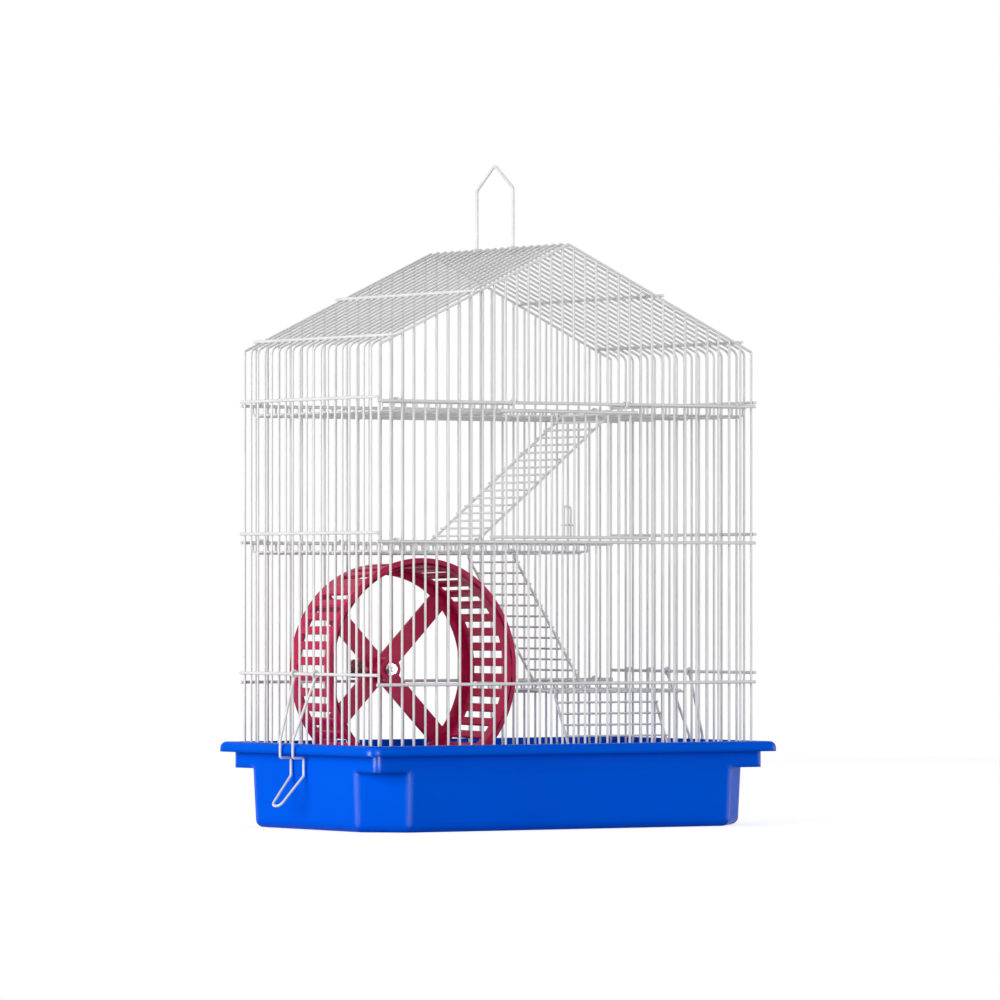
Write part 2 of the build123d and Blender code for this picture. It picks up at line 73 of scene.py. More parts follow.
class Shader:
    """Material node tree under construction."""

    noise_weak = 0.3
    noise_strong = 0.7
    rounding_peak = 1 / 16
    bevel_samples = 8

    def __init__(self, name: str) -> None:
        """Start a material with its principled shader.

        Args:
            name: Name of the material.
        """
        self.material = bpy.data.materials.new(name)
        self.material.use_nodes = True
        self.tree = self.material.node_tree
        self.surface = self.tree.nodes["Principled BSDF"]
        space = self.node("ShaderNodeTexCoord")
        self.place = space.outputs["Object"]
        self.facing = space.outputs["Normal"]
        self.soft = None

    def node(self, kind: str, **settings: object) -> bpy.types.Node:
        """Add a node.

        Args:
            kind: Node type.
            settings: Properties of the node to set.

        Returns:
            The new node.
        """
        made = self.tree.nodes.new(kind)
        for key, value in settings.items():
            setattr(made, key, value)
        return made

    def noise(self, scale: float, detail: float, stretch: Triple = (1, 1, 1)) -> bpy.types.NodeSocket:
        """Noise over the object's own coordinates.

        Args:
            scale: Waves per metre.
            detail: Octaves of the noise.
            stretch: Scale along each axis.

        Returns:
            The noise value, from 0 to 1.
        """
        mapping = self.node("ShaderNodeMapping")
        mapping.inputs["Scale"].default_value = stretch
        self.tree.links.new(self.place, mapping.inputs["Vector"])
        noise = self.node("ShaderNodeTexNoise")
        noise.inputs["Scale"].default_value = scale
        noise.inputs["Detail"].default_value = detail
        self.tree.links.new(mapping.outputs["Vector"], noise.inputs["Vector"])
        return noise.outputs["Fac"]

    def between(self, value: bpy.types.NodeSocket, low: float, high: float) -> bpy.types.NodeSocket:
        """Spread a noise or a mask between two numbers.

        Args:
            value: Noise or mask from 0 to 1.
            low: Result where the value is weak.
            high: Result where the value is strong.

        Returns:
            The spread value.
        """
        spread = self.node("ShaderNodeMapRange")
        spread.inputs["From Min"].default_value = self.noise_weak
        spread.inputs["From Max"].default_value = self.noise_strong
        spread.inputs["To Min"].default_value = low
        spread.inputs["To Max"].default_value = high
        self.tree.links.new(value, spread.inputs["Value"])
        return spread.outputs["Result"]

    def blend(self, value: bpy.types.NodeSocket, first: Triple, second: Triple) -> bpy.types.NodeSocket:
        """Mix two colours.

        Args:
            value: Share of the second colour.
            first: Colour where the value is 0.
            second: Colour where the value is 1.

        Returns:
            The mixed colour.
        """
        mix = self.node("ShaderNodeMix", data_type="RGBA")
        mix.inputs[6].default_value = (*first, 1)
        mix.inputs[7].default_value = (*second, 1)
        self.tree.links.new(value, mix.inputs[0])
        return mix.outputs[2]

    def bump(self, height: bpy.types.NodeSocket, depth: float, strength: float) -> None:
        """Raise the surface's normal by a height.

        Args:
            height: Height from 0 to 1.
            depth: Real depth in metres.
            strength: Share of the effect.
        """
        bump = self.node("ShaderNodeBump")
        bump.inputs["Distance"].default_value = depth
        bump.inputs["Strength"].default_value = strength
        self.tree.links.new(height, bump.inputs["Height"])
        if self.soft is not None:
            self.tree.links.new(self.soft, bump.inputs["Normal"])
        self.tree.links.new(bump.outputs["Normal"], self.surface.inputs["Normal"])

    def soften(self, radius: float) -> None:
        """Round the look of the moulded edges.

        Args:
            radius: Radius of the rounding in metres.
        """
        bevel = self.node("ShaderNodeBevel", samples=self.bevel_samples)
        bevel.inputs["Radius"].default_value = radius
        self.soft = bevel.outputs["Normal"]
        turn = self.node("ShaderNodeVectorTransform", vector_type="NORMAL")
        turn.convert_from = "WORLD"
        turn.convert_to = "OBJECT"
        self.tree.links.new(self.soft, turn.inputs[0])
        self.facing = turn.outputs[0]

    def math(
        self,
        operation: str,
        first: bpy.types.NodeSocket,
        second: bpy.types.NodeSocket,
    ) -> bpy.types.NodeSocket:
        """Work out a number from two sockets.

        Args:
            operation: Name of the operation.
            first: First number.
            second: Second number.

        Returns:
            The result.
        """
        made = self.node("ShaderNodeMath", operation=operation)
        self.tree.links.new(first, made.inputs[0])
        self.tree.links.new(second, made.inputs[1])
        return made.outputs[0]

    def rounding(self) -> bpy.types.NodeSocket:
        """Find the rounded upright edges from the softened direction of the surface.

        Returns:
            1 halfway between a side and a cut-off corner, 0 on both.
        """
        parts = self.node("ShaderNodeSeparateXYZ")
        self.tree.links.new(self.facing, parts.inputs[0])
        x, y, _ = parts.outputs
        product = self.math("MULTIPLY", x, y)
        difference = self.math("SUBTRACT", self.math("MULTIPLY", x, x), self.math("MULTIPLY", y, y))
        wave = self.math("MULTIPLY", product, difference)
        mask = self.math("MULTIPLY", wave, wave)
        spread = self.node("ShaderNodeMapRange")
        spread.inputs["From Max"].default_value = self.rounding_peak
        self.tree.links.new(mask, spread.inputs["Value"])
        return spread.outputs["Result"]

    def drive(self, socket: str, value: bpy.types.NodeSocket) -> None:
        """Link a value to a socket of the shader."""
        self.tree.links.new(value, self.surface.inputs[socket])

    def fix(self, **values: float) -> None:
        """Set sockets of the shader that are the same all over, with _ for a space."""
        for key, value in values.items():
            self.surface.inputs[key.replace("_", " ")].default_value = value


@dataclass(frozen=True)
class MouldedPlastic:
    """Injection-moulded plastic with faint flow marks, a fine stipple and handling scuffs.

    The flat faces take the sheen, the rounded upright edges the edge sheen. Lengths are in metres.
    """

    name: str
    color: Triple
    deep: Triple
    gloss: float
    worn: float
    sheen: float
    edge_sheen: float
    stipple: float
    edge_radius: float
    flow_scale: float = 9.0
    flow_stretch: Triple = (1, 1, 2.5)
    scuff_scale: float = 60.0
    scuff_stretch: Triple = (1, 1, 3)
    stipple_scale: float = 1600.0
    stipple_depth: float = 0.00008
    refraction: float = 1.49

    def build(self) -> bpy.types.Material:
        """Make the material.

        Returns:
            The material.
        """
        shader = Shader(self.name)
        shader.soften(self.edge_radius)
        flow = shader.between(shader.noise(self.flow_scale, 3.0, self.flow_stretch), 0.0, 1.0)
        shader.drive("Base Color", shader.blend(flow, self.deep, self.color))
        scuff = shader.between(shader.noise(self.scuff_scale, 6.0, self.scuff_stretch), self.gloss, self.worn)
        shader.drive("Roughness", scuff)
        shader.bump(shader.noise(self.stipple_scale, 2.0), self.stipple_depth, self.stipple)
        shader.drive("Specular IOR Level", shader.between(shader.rounding(), self.sheen, self.edge_sheen))
        shader.fix(IOR=self.refraction)
        return shader.material


@dataclass(frozen=True)
class CoatedWire:
    """White coating on steel wire, thicker in places and a little greyed. Lengths are in metres."""

    name: str
    color: Triple
    greyed: Triple
    gloss: float
    worn: float
    tone_scale: float = 35.0
    wear_scale: float = 240.0
    lump_scale: float = 260.0
    lump_depth: float = 0.0001
    lump_strength: float = 0.15
    coat: float = 0.15
    coat_gloss: float = 0.2

    def build(self) -> bpy.types.Material:
        """Make the material.

        Returns:
            The material.
        """
        shader = Shader(self.name)
        tone = shader.between(shader.noise(self.tone_scale, 4.0), 0.0, 1.0)
        shader.drive("Base Color", shader.blend(tone, self.greyed, self.color))
        wear = shader.between(shader.noise(self.wear_scale, 3.0), self.gloss, self.worn)
        shader.drive("Roughness", wear)
        shader.bump(shader.noise(self.lump_scale, 1.0), self.lump_depth, self.lump_strength)
        shader.fix(Coat_Weight=self.coat, Coat_Roughness=self.coat_gloss)
        return shader.material


@dataclass(frozen=True)
class BrightZinc:
    """Bright plated steel with turning marks round the axle's line. Lengths are in metres."""

    name: str
    color: Triple
    dull: Triple
    gloss: float
    worn: float
    tone_scale: float = 180.0
    wear_scale: float = 500.0
    wear_stretch: Triple = (1, 12, 1)
    mark_scale: float = 2400.0
    mark_stretch: Triple = (1, 6, 1)
    mark_depth: float = 0.00005
    mark_strength: float = 0.3

    def build(self) -> bpy.types.Material:
        """Make the material.

        Returns:
            The material.
        """
        shader = Shader(self.name)
        tone = shader.between(shader.noise(self.tone_scale, 4.0), 0.0, 1.0)
        shader.drive("Base Color", shader.blend(tone, self.dull, self.color))
        wear = shader.between(shader.noise(self.wear_scale, 4.0, self.wear_stretch), self.gloss, self.worn)
        shader.drive("Roughness", wear)
        marks = shader.noise(self.mark_scale, 2.0, self.mark_stretch)
        shader.bump(marks, self.mark_depth, self.mark_strength)
        shader.fix(Metallic=1.0)
        return shader.material


@dataclass
class Finishes:
    """Finishes of the cage, one for each slot of the record."""

    tray: MouldedPlastic = MouldedPlastic(
        name="tray blue",
        color=(0.0, 0.116, 0.84),
        deep=(0.0, 0.104, 0.78),
        gloss=0.16,
        worn=0.24,
        sheen=0.004,
        edge_sheen=1.0,
        stipple=0.03,
        edge_radius=0.006,
    )
    wheel: MouldedPlastic = MouldedPlastic(
        name="wheel red",
        color=(0.58, 0.008, 0.085),
        deep=(0.51, 0.006, 0.072),
        gloss=0.30,
        worn=0.44,
        sheen=0.20,
        edge_sheen=0.30,
        stipple=0.12,
        edge_radius=0.0006,
    )
    wire: CoatedWire = CoatedWire(
        name="wire white",
        color=(0.80, 0.80, 0.795),
        greyed=(0.70, 0.70, 0.695),
        gloss=0.28,
        worn=0.45,
    )
    steel: BrightZinc = BrightZinc(
        name="bright zinc",
        color=(0.78, 0.78, 0.77),
        dull=(0.55, 0.55, 0.56),
        gloss=0.18,
        worn=0.36,
    )

    def build(self) -> dict[str, bpy.types.Material]:
        """Make all the materials and put them on the frame's nodes.

        Returns:
            The material of each slot.
        """
        made = {
            Slot.TRAY.value: self.tray.build(),
            Slot.WIRE.value: self.wire.build(),
            Slot.WHEEL.value: self.wheel.build(),
            Slot.STEEL.value: self.steel.build(),
        }
        for entry in frame["record"]["subparts"]:
            node = frame["nodes"][entry["node"]]
            node.data.materials.clear()
            node.data.materials.append(made[entry["material_slot"]])
            log.info("%s is finished in %s", entry["node"], entry["material_slot"])
        return made


class Tree:
    """Geometry node tree under construction, with named inputs for its sizes."""

    def __init__(self, name: str) -> None:
        """Start a tree with a geometry input and output.

        Args:
            name: Name of the tree.
        """
        self.group = bpy.data.node_groups.new(name, "GeometryNodeTree")
        face = self.group.interface
        face.new_socket("Geometry", in_out="INPUT", socket_type="NodeSocketGeometry")
        face.new_socket("Geometry", in_out="OUTPUT", socket_type="NodeSocketGeometry")
        self.start = self.group.nodes.new("NodeGroupInput")
        self.end = self.group.nodes.new("NodeGroupOutput")
        self.keys: dict[str, str] = {}

    def size(self, name: str, kind: str = "Float") -> None:
        """Add a named input.

        Args:
            name: Name of the input.
            kind: Float, Int or Material.
        """
        socket = self.group.interface.new_socket(name, in_out="INPUT", socket_type="NodeSocket" + kind)
        self.keys[name] = socket.identifier

    def get(self, name: str) -> bpy.types.NodeSocket:
        """Socket of a named input."""
        return self.start.outputs[name]

    def node(self, kind: str, **settings: object) -> bpy.types.Node:
        """Add a node.

        Args:
            kind: Node type.
            settings: Properties of the node to set.

        Returns:
            The new node.
        """
        made = self.group.nodes.new(kind)
        for key, value in settings.items():
            setattr(made, key, value)
        return made

    def link(self, source: bpy.types.NodeSocket, node: bpy.types.Node, name: str | int) -> None:
        """Link a socket to a named input of a node."""
        self.group.links.new(source, node.inputs[name])

    def fill(self, node: bpy.types.Node, values: tuple[object, ...]) -> bpy.types.NodeSocket:
        """Set or link the inputs of a node in their order.

        Args:
            node: Node to fill.
            values: Number or socket for each input.

        Returns:
            The node's first output.
        """
        for place, value in enumerate(values):
            if isinstance(value, (int, float)):
                node.inputs[place].default_value = value
            else:
                self.link(value, node, place)
        return node.outputs[0]

    def math(self, operation: str, first: object, second: object) -> bpy.types.NodeSocket:
        """Work out a number.

        Args:
            operation: Name of the operation.
            first: Number or socket.
            second: Number or socket.

        Returns:
            The result.
        """
        return self.fill(self.node("ShaderNodeMath", operation=operation), (first, second))

    def vector(self, x: object, y: object, z: object) -> bpy.types.NodeSocket:
        """Put three numbers or sockets together as a vector."""
        return self.fill(self.node("ShaderNodeCombineXYZ"), (x, y, z))

    def close(self, geometry: bpy.types.NodeSocket) -> None:
        """Realize the instances, set the material and end the tree.

        Args:
            geometry: Geometry to end with.
        """
        real = self.node("GeometryNodeRealizeInstances")
        self.link(geometry, real, 0)
        smooth = self.node("GeometryNodeSetShadeSmooth")
        self.link(real.outputs[0], smooth, 0)
        finish = self.node("GeometryNodeSetMaterial")
        self.link(smooth.outputs[0], finish, 0)
        self.link(self.get("Material"), finish, "Material")
        self.link(finish.outputs[0], self.end, 0)

    def run(self, name: str, points: list[Vector], values: dict[str, object]) -> bpy.types.Object:
        """Run the tree on points and keep the result as a plain mesh at the origin.

        Args:
            name: Name of the new piece.
            points: Vertices that the tree starts from.
            values: Value of each named input.

        Returns:
            The new piece.
        """
        seed = bpy.data.meshes.new(name + "_seed")
        seed.from_pydata([tuple(p) for p in points], [], [])
        piece = bpy.data.objects.new(name, seed)
        bpy.context.scene.collection.objects.link(piece)
        modifier = piece.modifiers.new("shape", "NODES")
        modifier.node_group = self.group
        for key, value in values.items():
            modifier[self.keys[key]] = value
        bpy.context.view_layer.update()
        shaped = piece.evaluated_get(bpy.context.evaluated_depsgraph_get())
        mesh = bpy.data.meshes.new_from_object(shaped)
        piece.modifiers.remove(modifier)
        piece.data = mesh
        bpy.data.meshes.remove(seed)
        return piece


def settle(piece: bpy.types.Object, body: Body, slot: Slot, *nodes: str) -> None:
    """Let a piece ride on a body in place of frame nodes.

    Args:
        piece: Finished piece.
        body: Body that carries it.
        slot: Slot of its finish; not used.
        nodes: Frame nodes that it stands for.
    """
    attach(piece, body.value)
    if nodes:
        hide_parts(*nodes)
    log.info("%s rides on %s", piece.name, body.value)


@dataclass(frozen=True)
class Ramp:
    """Run of one ramp, in millimetres, for the welds of its rungs."""

    body: Body
    foot: Triple
    knee: Triple
    across: Triple
    rung_pitch: float = 9.0
    weld_up: float = 0.9

    def welds(self) -> list[Vector]:
        """Find the welds of the rungs on both edge wires.

        Returns:
            Places of the welds.
        """
        foot = Vector(self.foot)
        run = Vector(self.knee) - foot
        across = Vector(self.across)
        normal = across.cross(run).normalized()
        lift = normal * math.copysign(self.weld_up, normal.z)
        count = int(run.length // self.rung_pitch)
        spots = [foot + run * ((i + 0.5) / count) + lift for i in range(count)]
        return spots + [spot + across for spot in spots]


@dataclass
class WireShell:
    """Places of the wires, rails and floors, in millimetres, for the welds where they cross."""

    pitch: float = 10.0
    half_width: float = 165.0
    half_depth: float = 95.0
    side_plane: float = 165.5
    weld_out: float = 0.75
    front_rails: tuple[float, ...] = (47.7, 108.0, 212.5, 315.0)
    side_rails: tuple[float, ...] = (47.7, 115.0, 219.0, 318.0)
    eave: float = 356.0
    ridge: float = 433.0
    roof_lift: float = 0.6
    roof_shares: tuple[float, ...] = (0.5, 0.935)
    door_plane: float = -96.55
    door_rails: tuple[float, ...] = (216.0, 309.0)
    door_wires: tuple[int, int] = (11, 23)
    mid_floor: float = 205.5
    top_floor: float = 308.0
    landing: float = 101.0
    mid_gaps: int = 19
    hole_gaps: tuple[int, int] = (12, 20)
    landing_gap: int = 20
    mid_rods: tuple[float, ...] = (-81.4, -27.13, 27.13, 81.4)
    hole_rods: tuple[float, ...] = (-81.4, -54.9)
    top_rods: tuple[float, ...] = (-13.4, 31.67, 81.4)
    landing_rods: tuple[float, ...] = (-7.2, 40.0, 70.0)
    rod_weld: float = 0.6
    rim_weld: float = 90.8
    rim_drop: float = 0.8
    ramps: tuple[Ramp, ...] = (
        Ramp(Body.UPPER_RAMP, (-82.0, -87.0, 207.55), (37.95, -87.0, 304.0), (0.0, 64.0, 0.0)),
        Ramp(Body.LOWER_RAMP, (84.0, 12.0, 103.05), (22.05, 12.0, 201.5), (0.0, 64.0, 0.0)),
        Ramp(Body.SHORT_RAMP, (45.0, -56.0, 3.65), (45.0, -9.25, 95.8), (90.0, 0.0, 0.0)),
    )
    bead: float = 1.25
    fine_bead: float = 0.95
    bead_least: float = 0.88
    bead_most: float = 1.08
    bead_seed: int = 4

    def columns(self) -> list[float]:
        """Places of the upright wires across the front."""
        count = round(2 * self.half_width / self.pitch) + 1
        return [-self.half_width + self.pitch * i for i in range(count)]

    def rows(self) -> list[float]:
        """Places of the upright wires along a side."""
        count = round(2 * self.half_depth / self.pitch)
        return [-self.half_depth + self.pitch * i for i in range(1, count)]

    def shell_welds(self) -> list[Vector]:
        """Find the welds of the front, the back, the sides and the roof.

        Returns:
            Places of the welds.
        """
        welds = []
        y = self.half_depth + self.weld_out
        for x in self.columns():
            for z in self.front_rails:
                welds += [Vector((x, -y, z)), Vector((x, y, z))]
        side = self.side_plane + self.weld_out
        rise = (self.ridge - self.eave) / self.half_width
        slope = math.atan(rise)
        out = self.roof_lift + self.weld_out
        for row in self.rows():
            for z in self.side_rails:
                welds += [Vector((-side, row, z)), Vector((side, row, z))]
            for share in self.roof_shares:
                x = share * self.half_width + out * math.sin(slope)
                z = self.ridge - share * self.half_width * rise + out * math.cos(slope)
                welds += [Vector((-x, row, z)), Vector((x, row, z))]
        return welds

    def door_welds(self) -> list[Vector]:
        """Welds of the door's wires on its two rails."""
        first, last = self.door_wires
        return [Vector((x, self.door_plane, z)) for x in self.columns()[first:last] for z in self.door_rails]

    def floor_welds(self) -> list[Vector]:
        """Find the welds of the two floors and the landing.

        Returns:
            Places of the welds.
        """
        gaps = [x + self.pitch / 2 for x in self.columns()[:-1]]
        mid = gaps[:self.mid_gaps]
        beside_hole = gaps[:self.hole_gaps[0]] + gaps[self.hole_gaps[1]:]
        low = gaps[self.landing_gap:]
        grids = [
            (self.mid_floor, mid, self.mid_rods),
            (self.top_floor, beside_hole, self.hole_rods),
            (self.top_floor, gaps, self.top_rods),
            (self.landing, low, self.landing_rods),
        ]
        welds = []
        for level, wires, rods in grids:
            welds += [Vector((x, y, level - self.rod_weld)) for x in wires for y in rods]
        low_rail, mid_rail, top_rail = self.front_rails[1:]
        rims = [
            (mid_rail, mid, -1),
            (mid_rail, mid, 1),
            (top_rail, beside_hole, -1),
            (top_rail, gaps, 1),
            (low_rail, low, 1),
        ]
        for level, wires, side in rims:
            welds += [Vector((x, side * self.rim_weld, level - self.rim_drop)) for x in wires]
        return welds

    def bead_tree(self) -> Tree:
        """Tree that puts a weld bead on each point.

        Returns:
            The tree.
        """
        tree = Tree("weld beads")
        tree.size("Bead")
        tree.size("Material", "Material")
        bead = tree.node("GeometryNodeMeshIcoSphere")
        bead.inputs["Subdivisions"].default_value = 2
        tree.link(tree.get("Bead"), bead, "Radius")
        spread = tree.node("GeometryNodeInstanceOnPoints")
        tree.link(tree.get("Geometry"), spread, "Points")
        tree.link(bead.outputs["Mesh"], spread, "Instance")
        size = tree.node("FunctionNodeRandomValue", data_type="FLOAT")
        size.inputs[2].default_value = self.bead_least
        size.inputs[3].default_value = self.bead_most
        size.inputs["Seed"].default_value = self.bead_seed
        tree.link(size.outputs[1], spread, "Scale")
        tree.close(spread.outputs["Instances"])
        return tree

    def build(self, wire: bpy.types.Material) -> None:
        """Make the welds of the shell, the door, the floors and the ramps.

        Args:
            wire: Finish of the wires.
        """
        tree = self.bead_tree()
        groups = [
            ("shell_welds", Body.CAGE, self.bead, self.shell_welds()),
            ("floor_welds", Body.CAGE, self.fine_bead, self.floor_welds()),
            ("door_welds", Body.DOOR, self.bead, self.door_welds()),
        ]
        for ramp in self.ramps:
            groups.append((ramp.body.value + "_welds", ramp.body, self.fine_bead, ramp.welds()))
        for name, body, bead, welds in groups:
            piece = tree.run(name, [p * MM for p in welds], {"Bead": bead * MM, "Material": wire})
            settle(piece, body, Slot.WIRE)


@dataclass
class RunningWheel:
    """Moulded drum of the running wheel, in millimetres about its axle along Y."""

    center: tuple[float, float] = (-60.0, 117.5)
    front: float = 11.0
    rear: float = 73.0
    flange_in: float = 78.0
    flange_out: float = 83.5
    flange_depth: float = 4.0
    wall: float = 2.5
    front_radius: float = 80.5
    rear_radius: float = 79.0
    ring_in: float = 71.0
    ring_depth: float = 3.0
    slots: int = 42
    slot_width: float = 5.6
    slot_front: float = 21.0
    slot_rear: float = 64.0
    patch_angle: float = 128.0
    patch_length: float = 43.0
    overlap: float = 1.0
    edge: float = 0.7
    edge_steps: int = 3
    hoop_steps: int = 168

    def rounded(
        self,
        tree: Tree,
        width: bpy.types.NodeSocket,
        height: bpy.types.NodeSocket,
    ) -> bpy.types.NodeSocket:
        """Profile with rounded corners.

        Args:
            tree: Tree that takes the profile.
            width: Width of the profile.
            height: Height of the profile.

        Returns:
            The profile.
        """
        corners = tree.node("GeometryNodeCurvePrimitiveQuadrilateral")
        tree.link(width, corners, "Width")
        tree.link(height, corners, "Height")
        fillet = tree.node("GeometryNodeFilletCurve", mode="POLY")
        tree.link(corners.outputs["Curve"], fillet, "Curve")
        tree.link(tree.get("Edge"), fillet, "Radius")
        fillet.inputs["Count"].default_value = self.edge_steps
        return fillet.outputs["Curve"]

    def hoop_tree(self) -> Tree:
        """Tree of one hoop: a rounded profile turned round the axle.

        Returns:
            The tree.
        """
        tree = Tree("moulded hoop")
        for name in ("Inner", "Outer", "Front", "Rear", "Edge"):
            tree.size(name)
        tree.size("Material", "Material")
        circle = tree.node("GeometryNodeCurvePrimitiveCircle")
        circle.inputs["Resolution"].default_value = self.hoop_steps
        middle = tree.math("MULTIPLY", tree.math("ADD", tree.get("Inner"), tree.get("Outer")), 0.5)
        tree.link(middle, circle, "Radius")
        thickness = tree.math("SUBTRACT", tree.get("Outer"), tree.get("Inner"))
        length = tree.math("SUBTRACT", tree.get("Rear"), tree.get("Front"))
        hoop = tree.node("GeometryNodeCurveToMesh")
        tree.link(circle.outputs["Curve"], hoop, "Curve")
        tree.link(self.rounded(tree, thickness, length), hoop, "Profile Curve")
        turn = tree.node("GeometryNodeTransform")
        tree.link(hoop.outputs["Mesh"], turn, "Geometry")
        turn.inputs["Rotation"].default_value = (math.pi / 2, 0, 0)
        depth = tree.math("MULTIPLY", tree.math("ADD", tree.get("Rear"), tree.get("Front")), 0.5)
        tree.link(tree.vector(self.center[0] * MM, depth, self.center[1] * MM), turn, "Translation")
        tree.close(turn.outputs["Geometry"])
        return tree

    def hoop(
        self,
        tree: Tree,
        name: str,
        sizes: tuple[float, float, float, float],
        red: bpy.types.Material,
    ) -> bpy.types.Object:
        """One hoop of the drum.

        Args:
            tree: Tree of a hoop.
            name: Name of the hoop.
            sizes: Inner radius, outer radius, front and rear.
            red: Finish of the wheel.

        Returns:
            The hoop.
        """
        inner, outer, front, rear = sizes
        values = {
            "Inner": inner * MM,
            "Outer": outer * MM,
            "Front": front * MM,
            "Rear": rear * MM,
            "Edge": self.edge * MM,
            "Material": red,
        }
        return tree.run(name, [Vector((0, 0, 0))], values)

    def bar_tree(self) -> Tree:
        """Tree of the bars between the slots.

        Returns:
            The tree.
        """
        tree = Tree("wheel bars")
        ends = ("Front Radius", "Rear Radius", "Front", "Rear")
        for name in ends + ("Wall", "Width", "Edge", "Start", "Step"):
            tree.size(name)
        tree.size("Count", "Int")
        tree.size("Material", "Material")
        line = tree.node("GeometryNodeCurvePrimitiveLine")
        tree.link(tree.vector(tree.get("Front Radius"), tree.get("Front"), 0), line, "Start")
        tree.link(tree.vector(tree.get("Rear Radius"), tree.get("Rear"), 0), line, "End")
        bar = tree.node("GeometryNodeCurveToMesh")
        tree.link(line.outputs["Curve"], bar, "Curve")
        tree.link(self.rounded(tree, tree.get("Wall"), tree.get("Width")), bar, "Profile Curve")
        bar.inputs["Fill Caps"].default_value = True
        spots = tree.node("GeometryNodePoints")
        tree.link(tree.get("Count"), spots, "Count")
        index = tree.node("GeometryNodeInputIndex").outputs[0]
        angle = tree.math("ADD", tree.math("MULTIPLY", index, tree.get("Step")), tree.get("Start"))
        around = tree.node("GeometryNodeInstanceOnPoints")
        tree.link(spots.outputs[0], around, "Points")
        tree.link(bar.outputs["Mesh"], around, "Instance")
        tree.link(tree.vector(0, tree.math("MULTIPLY", angle, -1), 0), around, "Rotation")
        place = tree.node("GeometryNodeTransform")
        tree.link(around.outputs["Instances"], place, "Geometry")
        place.inputs["Translation"].default_value = (self.center[0] * MM, 0, self.center[1] * MM)
        tree.close(place.outputs["Geometry"])
        return tree

    def skin(self, y: float) -> float:
        """Outer radius of the drum at a depth."""
        share = (y - self.front - self.flange_depth) / (self.rear - self.front - self.flange_depth)
        return self.front_radius + (self.rear_radius - self.front_radius) * share

    def bars(
        self,
        tree: Tree,
        span: tuple[float, float],
        width: float,
        turns: tuple[int, float],
        red: bpy.types.Material,
    ) -> bpy.types.Object:
        """Bars between the bands of the drum.

        Args:
            tree: Tree of the bars.
            span: Front and rear of the bars.
            width: Width of one bar.
            turns: Count of the bars and the angle of the first.
            red: Finish of the wheel.

        Returns:
            The bars.
        """
        count, start = turns
        front, rear = span
        values = {
            "Front Radius": (self.skin(front) - self.wall / 2) * MM,
            "Rear Radius": (self.skin(rear) - self.wall / 2) * MM,
            "Front": front * MM,
            "Rear": rear * MM,
            "Wall": self.wall * MM,
            "Width": width * MM,
            "Edge": self.edge * MM,
            "Start": start,
            "Step": 2 * math.pi / self.slots,
            "Count": count,
            "Material": red,
        }
        return tree.run("bars", [Vector((0, 0, 0))], values)

    def build(self, red: bpy.types.Material) -> None:
        """Make the drum.

        Args:
            red: Finish of the wheel.
        """
        hoops = self.hoop_tree()
        flange_rear = self.front + self.flange_depth
        ring_front = self.rear - self.ring_depth
        band_rear = self.slot_front + self.overlap
        band_front = self.slot_rear - self.overlap
        front_skin = self.skin(band_rear)
        rear_skin = self.skin(band_front)
        hoop_sizes = {
            "flange": (self.flange_in, self.flange_out, self.front, flange_rear),
            "front_band": (front_skin - self.wall, front_skin, self.front, band_rear),
            "rear_band": (rear_skin - self.wall, rear_skin, band_front, self.rear),
            "rear_ring": (self.ring_in, rear_skin, ring_front, self.rear),
        }
        pieces = [self.hoop(hoops, name, sizes, red) for name, sizes in hoop_sizes.items()]
        step = 2 * math.pi / self.slots
        bar_width = step * self.skin((self.slot_front + self.slot_rear) / 2) - self.slot_width
        start = math.radians(self.patch_angle)
        patch_front = (self.slot_front + self.slot_rear - self.patch_length) / 2
        tree = self.bar_tree()
        span = (self.slot_front, self.slot_rear)
        pieces.append(self.bars(tree, span, bar_width, (self.slots, start + step / 2), red))
        patch = (patch_front, patch_front + self.patch_length)
        pieces.append(self.bars(tree, patch, self.slot_width + self.overlap, (1, start), red))
        drum = join("running_drum", pieces)
        settle(drum, Body.WHEEL, Slot.WHEEL, "wheel_drum")


def join(name: str, pieces: list[bpy.types.Object]) -> bpy.types.Object:
    """Put several pieces at the origin together as one mesh.

    Args:
        name: Name of the joined piece.
        pieces: Pieces with the same finish.

    Returns:
        The joined piece.
    """
    whole = bmesh.new()
    for piece in pieces:
        whole.from_mesh(piece.data)
    mesh = bpy.data.meshes.new(name)
    whole.to_mesh(mesh)
    whole.free()
    mesh.materials.append(pieces[0].data.materials[0])
    for piece in pieces:
        bpy.data.objects.remove(piece)
    joined = bpy.data.objects.new(name, mesh)
    bpy.context.scene.collection.objects.link(joined)
    return joined


@dataclass(frozen=True)
class Lamp:
    """Soft lamp that faces the cage, in metres and watts."""

    name: str
    place: Triple
    size: tuple[float, float]
    power: float

    def build(self, aim: Triple) -> None:
        """Add the lamp.

        Args:
            aim: Point that it faces.
        """
        data = bpy.data.lights.new(self.name, "AREA")
        data.shape = "RECTANGLE"
        data.size, data.size_y = self.size
        data.energy = self.power
        lamp = bpy.data.objects.new(self.name, data)
        lamp.location = self.place
        toward = Vector(aim) - Vector(self.place)
        lamp.rotation_euler = toward.to_track_quat("-Z", "Y").to_euler()
        bpy.context.scene.collection.objects.link(lamp)


